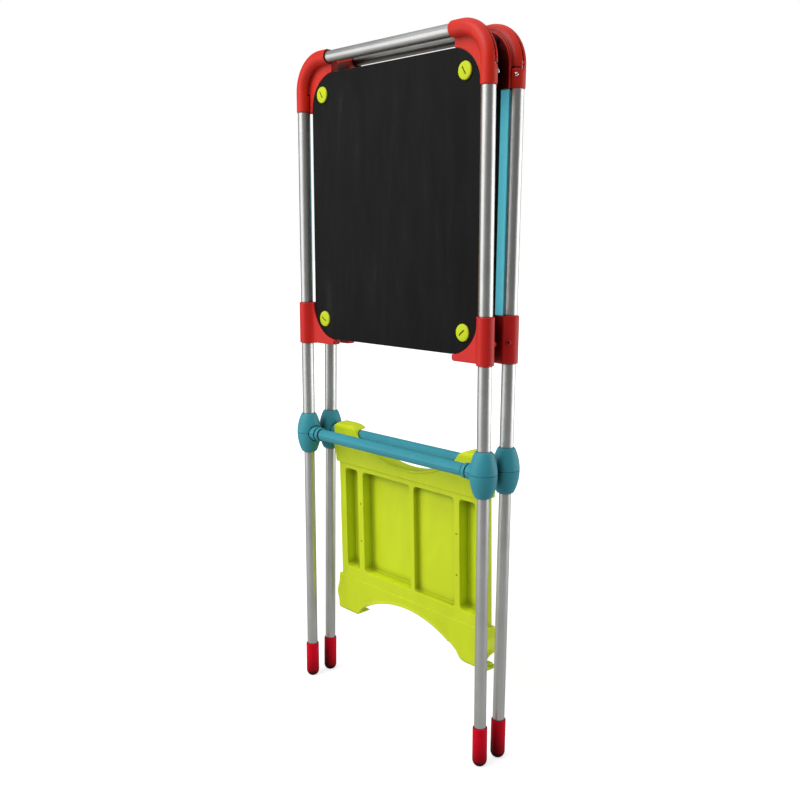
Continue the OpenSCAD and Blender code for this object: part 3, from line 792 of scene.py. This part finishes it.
def knobs():
    """All four knobs of one frame as one piece."""
    pts, faces, base = [], [], 0
    for (side, up), turn in KNOB_TURNS.items():
        p, f = skin(knob_field(-turn if side > 0 else turn), grid(-16, 16, 0.8), grid(-16, 16, 0.8),
                    uneven([(-14.2, 1.6), (-1.0, 0.6), (6.0, 0.6)]))
        # the face looks towards -Y, so local Z becomes -Y
        p = np.stack([side * KNOB_X + p[:, 0], BOARD_Y - 0.1 - p[:, 2], knob_z(up) + p[:, 1]], 1)
        pts.append(p)
        faces.append(f + base)
        base += len(p)
    return np.concatenate(pts), np.concatenate(faces)


OUTER_SIDE, CUT_EDGE, INNER_SIDE = 0, 1, 2  # a board's material numbers


def board():
    """Rounded sheet with softened edges; returns points, faces and a material number per face."""
    outline, normals = [], []
    corners = [(1, 1, 0), (-1, 1, 90), (-1, -1, 180), (1, -1, 270)]
    for sx, sz, a0 in corners:
        cx = sx * ARC_X
        cz = BOARD_Z + BOARD_H / 2 + sz * (BOARD_H / 2 - BOARD_R)
        for i in range(33):
            a = math.radians(a0 + 90 * i / 32)
            outline.append((cx + BOARD_R * math.cos(a), cz + BOARD_R * math.sin(a)))
            normals.append((math.cos(a), math.sin(a)))
    outline, normals = np.array(outline), np.array(normals)
    e = 0.5
    rings = [(e, 0.0), (0.15, 0.15), (0.0, e), (0.0, BOARD_T - e), (0.15, BOARD_T - 0.15), (e, BOARD_T)]
    pts = []
    for inset, depth in rings:
        xz = outline - normals * inset
        pts.append(np.stack([xz[:, 0], np.full(len(xz), BOARD_Y + depth), xz[:, 1]], 1))
    n = len(outline)
    faces = [tuple(range(n))]
    mat = [OUTER_SIDE]
    for r in range(len(rings) - 1):
        for i in range(n):
            j = (i + 1) % n
            faces.append((r * n + i, (r + 1) * n + i, (r + 1) * n + j, r * n + j))
            mat.append((OUTER_SIDE, CUT_EDGE, CUT_EDGE, CUT_EDGE, INNER_SIDE)[r])
    faces.append(tuple((len(rings) - 1) * n + i for i in reversed(range(n))))
    mat.append(INNER_SIDE)
    return np.concatenate(pts), faces, mat


def along_x(points):
    """Turns a lathed piece's axis from Z to X."""
    return np.stack([points[:, 2], points[:, 0], points[:, 1]], 1)


def both_sides(points, faces):
    mirrored = faces[:, ::-1] + len(points)
    return np.concatenate([points, points * [-1, 1, 1]]), np.concatenate([faces, mirrored])


def cover():
    """Ribbed sleeve over the cross rail."""
    seg = RIBS * 8
    ang = np.arange(seg) * 2 * math.pi / seg
    rib = np.where((np.arange(seg) % 8 == 0) | (np.arange(seg) % 8 == 7), RIB_HIGH, 0.0)
    ends = [(-COVER_X, -0.5), (-COVER_X + 0.5, 0.0), (COVER_X - 0.5, 0.0), (COVER_X, -0.5)]
    pts, faces = [], []
    for x, d in ends:
        for a, high in zip(ang, rib):
            r = COVER_R + high + d
            pts.append((x, r * math.cos(a), r * math.sin(a)))
    for x in (COVER_X, -COVER_X):
        pts += [(x, (CORE_R + FIT) * math.cos(a), (CORE_R + FIT) * math.sin(a)) for a in ang]
    rings = len(ends) + 2
    for r in range(rings):
        q = (r + 1) % rings
        for i in range(seg):
            j = (i + 1) % seg
            faces.append((r * seg + i, r * seg + j, q * seg + j, q * seg + i))
    return np.array(pts) + [0, 0, CROSS_Z], faces


def collars():
    profile = [(CORE_R + FIT, 0), (COLLAR_R - 1.2, 0), (COLLAR_R - 0.35, 0.35), (COLLAR_R, 1.2),
               (COLLAR_R, COLLAR_W - 1.2), (COLLAR_R - 0.35, COLLAR_W - 0.35), (COLLAR_R - 1.2, COLLAR_W),
               (CORE_R + FIT, COLLAR_W), (CORE_R + FIT, 0)]
    p, f = lathe(profile)
    return both_sides(along_x(p) + [COLLAR_X, 0, CROSS_Z], np.array(f))


def top_rail(up):
    """Straight tube between the two corners, a little slimmer than their bores."""
    end, inner = LEG_X - BEND_R, RAIL_R - 1.5
    profile = [(inner, -end), (RAIL_R, -end), (RAIL_R, end), (inner, end), (inner, -end)]
    p, f = lathe(profile, 96)
    return along_x(p) + [0, 0, TOP_RAIL_Z + up], f


# Profiles of (radius, reach). The CAD's corner heads are 4 in radius and reach 16.5.
CORNER_HEAD = [(0.01, 8.4), (2.0, 8.4), (2.0, 12.8), (3.2, 12.8), (3.3, 13.2), (3.2, 13.9), (2.8, 14.6),
               (2.0, 15.05), (1.0, 15.2), (0.9, 14.3), (0.01, 14.2)]
BRACKET_HEAD = [(0.01, 8.4), (1.65, 8.4), (1.65, 14.2), (1.3, 14.6), (0.7, 14.6), (0.5, 14.0), (0.01, 13.9)]


def screw_heads(profile, at_z):
    """A frame's two small screws, from a profile of the radius and the reach from the leg's centre."""
    p, f = lathe(profile, 32)
    p = along_x(p)
    c, s = math.cos(SCREW_TURN), math.sin(SCREW_TURN)
    p = np.stack([p[:, 0] * c - p[:, 1] * s, p[:, 0] * s + p[:, 1] * c, p[:, 2]], 1)
    return both_sides(p + [LEG_X, 0, at_z], np.array(f))


KNOBS = knobs()
for end, matrix in (("front", FRONT), ("rear", REAR)):
    body = end + "_frame"
    for side in ("left", "right"):
        flip = (side == "left") if end == "front" else (side == "right")
        for part, mesh, material, slot_name in (
            ("corner_shell", SHELL, RED, "red_corner"), ("corner_back", BACK, RED_BACK_SHADED[end], "red_corner"),
            ("bracket", BRACKET, RED_LOW, "red_bracket"), ("barrel_upper", UPPER, TEAL, "teal"),
            ("barrel_lower", LOWER, TEAL, "teal"), ("foot", FOOT, CRIMSON, "crimson_foot"),
        ):
            obj = make(f"{end}_{part}_{side}_moulding", *mesh, matrix, body, slot_name, material,
                       [f"{end}_{part}_{side}"], flip)
            if part == "foot":
                sharp(obj, 50)
    sharp(make(f"{end}_board_knobs_moulding", *KNOBS, matrix, body, "lime_knob", LIME_KNOB,
               [f"{end}_board_knobs"]), 40)
    p, f, mat = board()
    face, slot_name = (CHALK, "chalk_board") if end == "front" else (WHITE, "white_board")
    sharp(make(f"{end}_board_sheet", p, f, matrix, body, slot_name, [face, EDGE, INNER_SHADE],
               [f"{end}_board"], mat_index=mat), 30)
    for piece, node, mesh, slot_name, material, edge in (
        ("cross_rail_sleeve", "cross_rail_cover", cover(), "teal", TEAL, 25),
        ("top_rail_tube", "top_rail", top_rail(RAIL_UP[end]), "silver_tube", TUBE_X, 30),
        ("rail_collar_rings", "rail_collars", collars(), "teal", TEAL, 50),
        ("corner_screw_heads", "corner_screws", screw_heads(CORNER_HEAD, CORNER_SCREW_Z),
         "bright_steel", SCREW, 40),
        ("bracket_screw_heads", "bracket_screws", screw_heads(BRACKET_HEAD, BRACKET_SCREW_Z),
         "dark_screw", DARK_SCREW, 40),
    ):
        sharp(make(f"{end}_{piece}", *mesh, matrix, body, slot_name, material, [f"{end}_{node}"]), edge)

make("tray_moulding", *skin(tray_field, *TRAY_GRID), TRAY, "tray", "lime_tray", LIME, ["tray"])

# The CAD nodes that still show, by a word in their names; the hinges have none of them.
NODE_FINISH = (("leg", TUBE_Z, "silver_tube"), ("rail", TUBE_X, "silver_tube"),
               ("strip", GLOWING_STRIP, "pale_blue"), ("pins", SCREW, "bright_steel"), ("", HINGE_SHADE, "grey_steel"))
for name, obj in frame["nodes"].items():
    if obj.hide_render:
        continue
    material, slot_name = next((m, s) for word, m, s in NODE_FINISH if word in name)
    obj.data.materials.clear()
    obj.data.materials.append(material)
    obj.data.shade_smooth()
    sharp(obj)

# ---------------------------------------------------------------- floor, light and camera

FLOOR_SEEN, FLOOR_LIT = 0.6, 0.5         # how light the floor is to the camera, and to the object
FLOOR_GLOW, FAR_GLOW = 0.68, 1.1         # the floor's own light under the object and far from it
GLOW_NEAR, GLOW_FAR = 0.6, 2.2           # metres along the floor from the object's middle
WORLD_LIGHT = 0.15
MIDDLE = (0, 0, 0.65)


def two_looks(tree, lit, seen, out):
    """Shows seen to the camera, and lights the object with lit."""
    path = tree.nodes.new("ShaderNodeLightPath")
    mix = tree.nodes.new("ShaderNodeMixShader")
    link(tree, path.outputs["Is Camera Ray"], mix.inputs["Fac"])
    link(tree, lit, mix.inputs[1])
    link(tree, seen, mix.inputs[2])
    link(tree, mix.outputs["Shader"], out.inputs["Surface"])


def floor_white():
    """Pale floor: reads white to the camera, with the object's soft contact shadows left in it."""
    m = bpy.data.materials.new("studio_floor_white")
    m.use_nodes = True
    tree = m.node_tree
    tree.nodes.remove(tree.nodes["Principled BSDF"])
    bounce = tree.nodes.new("ShaderNodeBsdfDiffuse")
    bounce.inputs["Color"].default_value = (FLOOR_LIT, FLOOR_LIT, FLOOR_LIT, 1)
    seen = tree.nodes.new("ShaderNodeBsdfDiffuse")
    seen.inputs["Color"].default_value = (FLOOR_SEEN, FLOOR_SEEN, FLOOR_SEEN, 1)
    glow = tree.nodes.new("ShaderNodeEmission")
    coord = tree.nodes.new("ShaderNodeTexCoord")
    length = tree.nodes.new("ShaderNodeVectorMath")
    length.operation = "LENGTH"
    link(tree, coord.outputs["Object"], length.inputs[0])
    strength = value_range(tree, length.outputs["Value"], FLOOR_GLOW, FAR_GLOW, GLOW_NEAR, GLOW_FAR)
    link(tree, strength, glow.inputs["Strength"])
    both = tree.nodes.new("ShaderNodeAddShader")
    link(tree, seen.outputs["BSDF"], both.inputs[0])
    link(tree, glow.outputs["Emission"], both.inputs[1])
    two_looks(tree, bounce.outputs["BSDF"], both.outputs["Shader"], tree.nodes["Material Output"])
    return m


def floor():
    mesh = bpy.data.meshes.new("studio_floor")
    mesh.from_pydata([(-30, -30, 0), (30, -30, 0), (30, 30, 0), (-30, 30, 0)], [], [(0, 1, 2, 3)])
    mesh.materials.append(floor_white())
    obj = bpy.data.objects.new("studio_floor", mesh)
    bpy.context.scene.collection.objects.link(obj)


def softbox(name, at, aim, size, power):
    """Rectangular light, its size in metres and its power in watts; the camera doesn't see it."""
    light = bpy.data.lights.new(name, "AREA")
    light.shape = "RECTANGLE"
    light.size, light.size_y = size
    light.energy = power
    obj = bpy.data.objects.new(name, light)
    obj.location = at
    obj.rotation_mode = "QUATERNION"
    obj.rotation_quaternion = (Vector(aim) - Vector(at)).to_track_quat("-Z", "Y")
    obj.visible_camera = False
    bpy.context.scene.collection.objects.link(obj)


# Camera, as solved together with the proportions: angles in radians, place in metres
AZ, TILT, ROLL = 0.8422, 0.161, 0.0058
EYE = Vector((1.243745, -1.107970, 0.840347))
SENSOR = 36
LENS = 984.54 / 800 * SENSOR  # from the focal length in pixels of an 800 pixel frame


def camera():
    forward = Vector((-math.sin(AZ) * math.cos(TILT), math.cos(AZ) * math.cos(TILT), -math.sin(TILT)))
    right = Vector((math.cos(AZ), math.sin(AZ), 0))
    up = right.cross(forward)
    c, s = math.cos(ROLL), math.sin(ROLL)
    right, up = c * right + s * up, -s * right + c * up
    data = bpy.data.cameras.new("camera")
    data.sensor_width = SENSOR
    data.lens = LENS
    data.clip_start, data.clip_end = 0.05, 100
    obj = bpy.data.objects.new("camera", data)
    rows = [[right[i], up[i], -forward[i], EYE[i]] for i in range(3)] + [[0, 0, 0, 1]]
    obj.matrix_world = Matrix(rows)
    bpy.context.scene.collection.objects.link(obj)
    bpy.context.scene.camera = obj


def world():
    w = bpy.data.worlds.new("studio")
    bpy.context.scene.world = w
    w.use_nodes = True
    tree = w.node_tree
    seen = tree.nodes["Background"]
    lit = tree.nodes.new("ShaderNodeBackground")
    for background, strength in ((seen, 1.0), (lit, WORLD_LIGHT)):
        background.inputs["Color"].default_value = (1, 1, 1, 1)
        background.inputs["Strength"].default_value = strength
    two_looks(tree, lit.outputs["Background"], seen.outputs["Background"], tree.nodes["World Output"])


def around(azimuth, distance, height):
    """A place round the object. Azimuths are the camera's: 48 degrees looks from the right front."""
    a = math.radians(azimuth)
    return (distance * math.sin(a), -distance * math.cos(a), height)


floor()
softbox("key_left", around(-32, 2.4, 0.9), MIDDLE, (2.6, 1.8), 20)
softbox("key_right", around(140, 2.2, 0.8), MIDDLE, (2.4, 1.6), 25)
softbox("front_top", around(-8, 2.3, 2.8), MIDDLE, (2.2, 2.0), 62)
softbox("top", (0.0, 0.0, 3.4), (0, 0, 0), (4.0, 4.0), 36)
world()
camera()
bpy.context.scene.view_settings.view_transform = "Standard"
bpy.context.scene.view_settings.look = "None"
